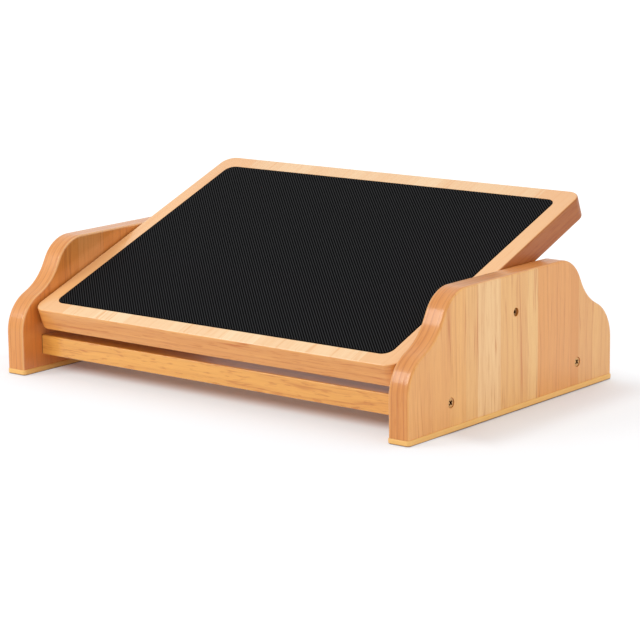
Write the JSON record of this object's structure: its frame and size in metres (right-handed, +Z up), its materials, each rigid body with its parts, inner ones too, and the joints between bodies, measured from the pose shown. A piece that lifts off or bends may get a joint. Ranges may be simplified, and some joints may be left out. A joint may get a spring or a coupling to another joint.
{
  "type": "tilting footrest",
  "caption": "Low wooden footrest for use under a desk: a board with a ribbed rubber mat tilts between two stepped side panels that crossbars join.",
  "frame": {"origin": "on the floor, under the middle of the frame", "axes": "+X to the right of a person using it, +Y to the back, under the desk, +Z up"},
  "size_m": [0.456, 0.301, 0.1667],
  "materials": {
    "panel_wood": "clear satin lacquer",
    "board_wood": "clear satin lacquer",
    "bar_wood": "clear satin lacquer",
    "block_wood": "sanded",
    "dowel_wood": "raw, fluted",
    "base_rubber": "matte",
    "mat_rubber": "fine diagonal ribs",
    "screw_metal": "yellow zinc plate",
    "bolt_metal": "bronze-black plate",
    "insert_metal": "turned",
    "bush_plastic": "natural nylon",
    "washer_rubber": "matte"
  },
  "bodies": {
    "frame": {"left_side_panel": "panel_wood", "right_side_panel": "panel_wood", "left_base_strip": "base_rubber", "right_base_strip": "base_rubber", "front_crossbar": "bar_wood", "rear_crossbar": "bar_wood", "left_front_bar_screw": "screw_metal", "right_front_bar_screw": "screw_metal", "left_rear_bar_screw": "screw_metal", "right_rear_bar_screw": "screw_metal", "left_front_bar_dowel_1": "dowel_wood", "left_front_bar_dowel_2": "dowel_wood", "left_rear_bar_dowel_1": "dowel_wood", "left_rear_bar_dowel_2": "dowel_wood", "right_front_bar_dowel_1": "dowel_wood", "right_front_bar_dowel_2": "dowel_wood", "right_rear_bar_dowel_1": "dowel_wood", "right_rear_bar_dowel_2": "dowel_wood", "left_pivot_bush": "bush_plastic", "right_pivot_bush": "bush_plastic"},
    "platform": {"platform_board": "board_wood", "foot_mat": "mat_rubber", "left_pivot_block": "block_wood", "right_pivot_block": "block_wood", "left_pivot_insert": "insert_metal", "right_pivot_insert": "insert_metal", "left_friction_washer": "washer_rubber", "right_friction_washer": "washer_rubber", "left_pivot_bolt": "bolt_metal", "right_pivot_bolt": "bolt_metal", "left_block_screw_1": "screw_metal", "left_block_screw_2": "screw_metal", "right_block_screw_1": "screw_metal", "right_block_screw_2": "screw_metal"}
  },
  "joints": [
    {"name": "platform_tilt", "type": "hinge", "parent": "frame", "child": "platform", "pos_m": [0, 0.0012, 0.0849], "axis": [1, 0, 0], "range_deg": [-45.3, 3.2]}
  ]
}
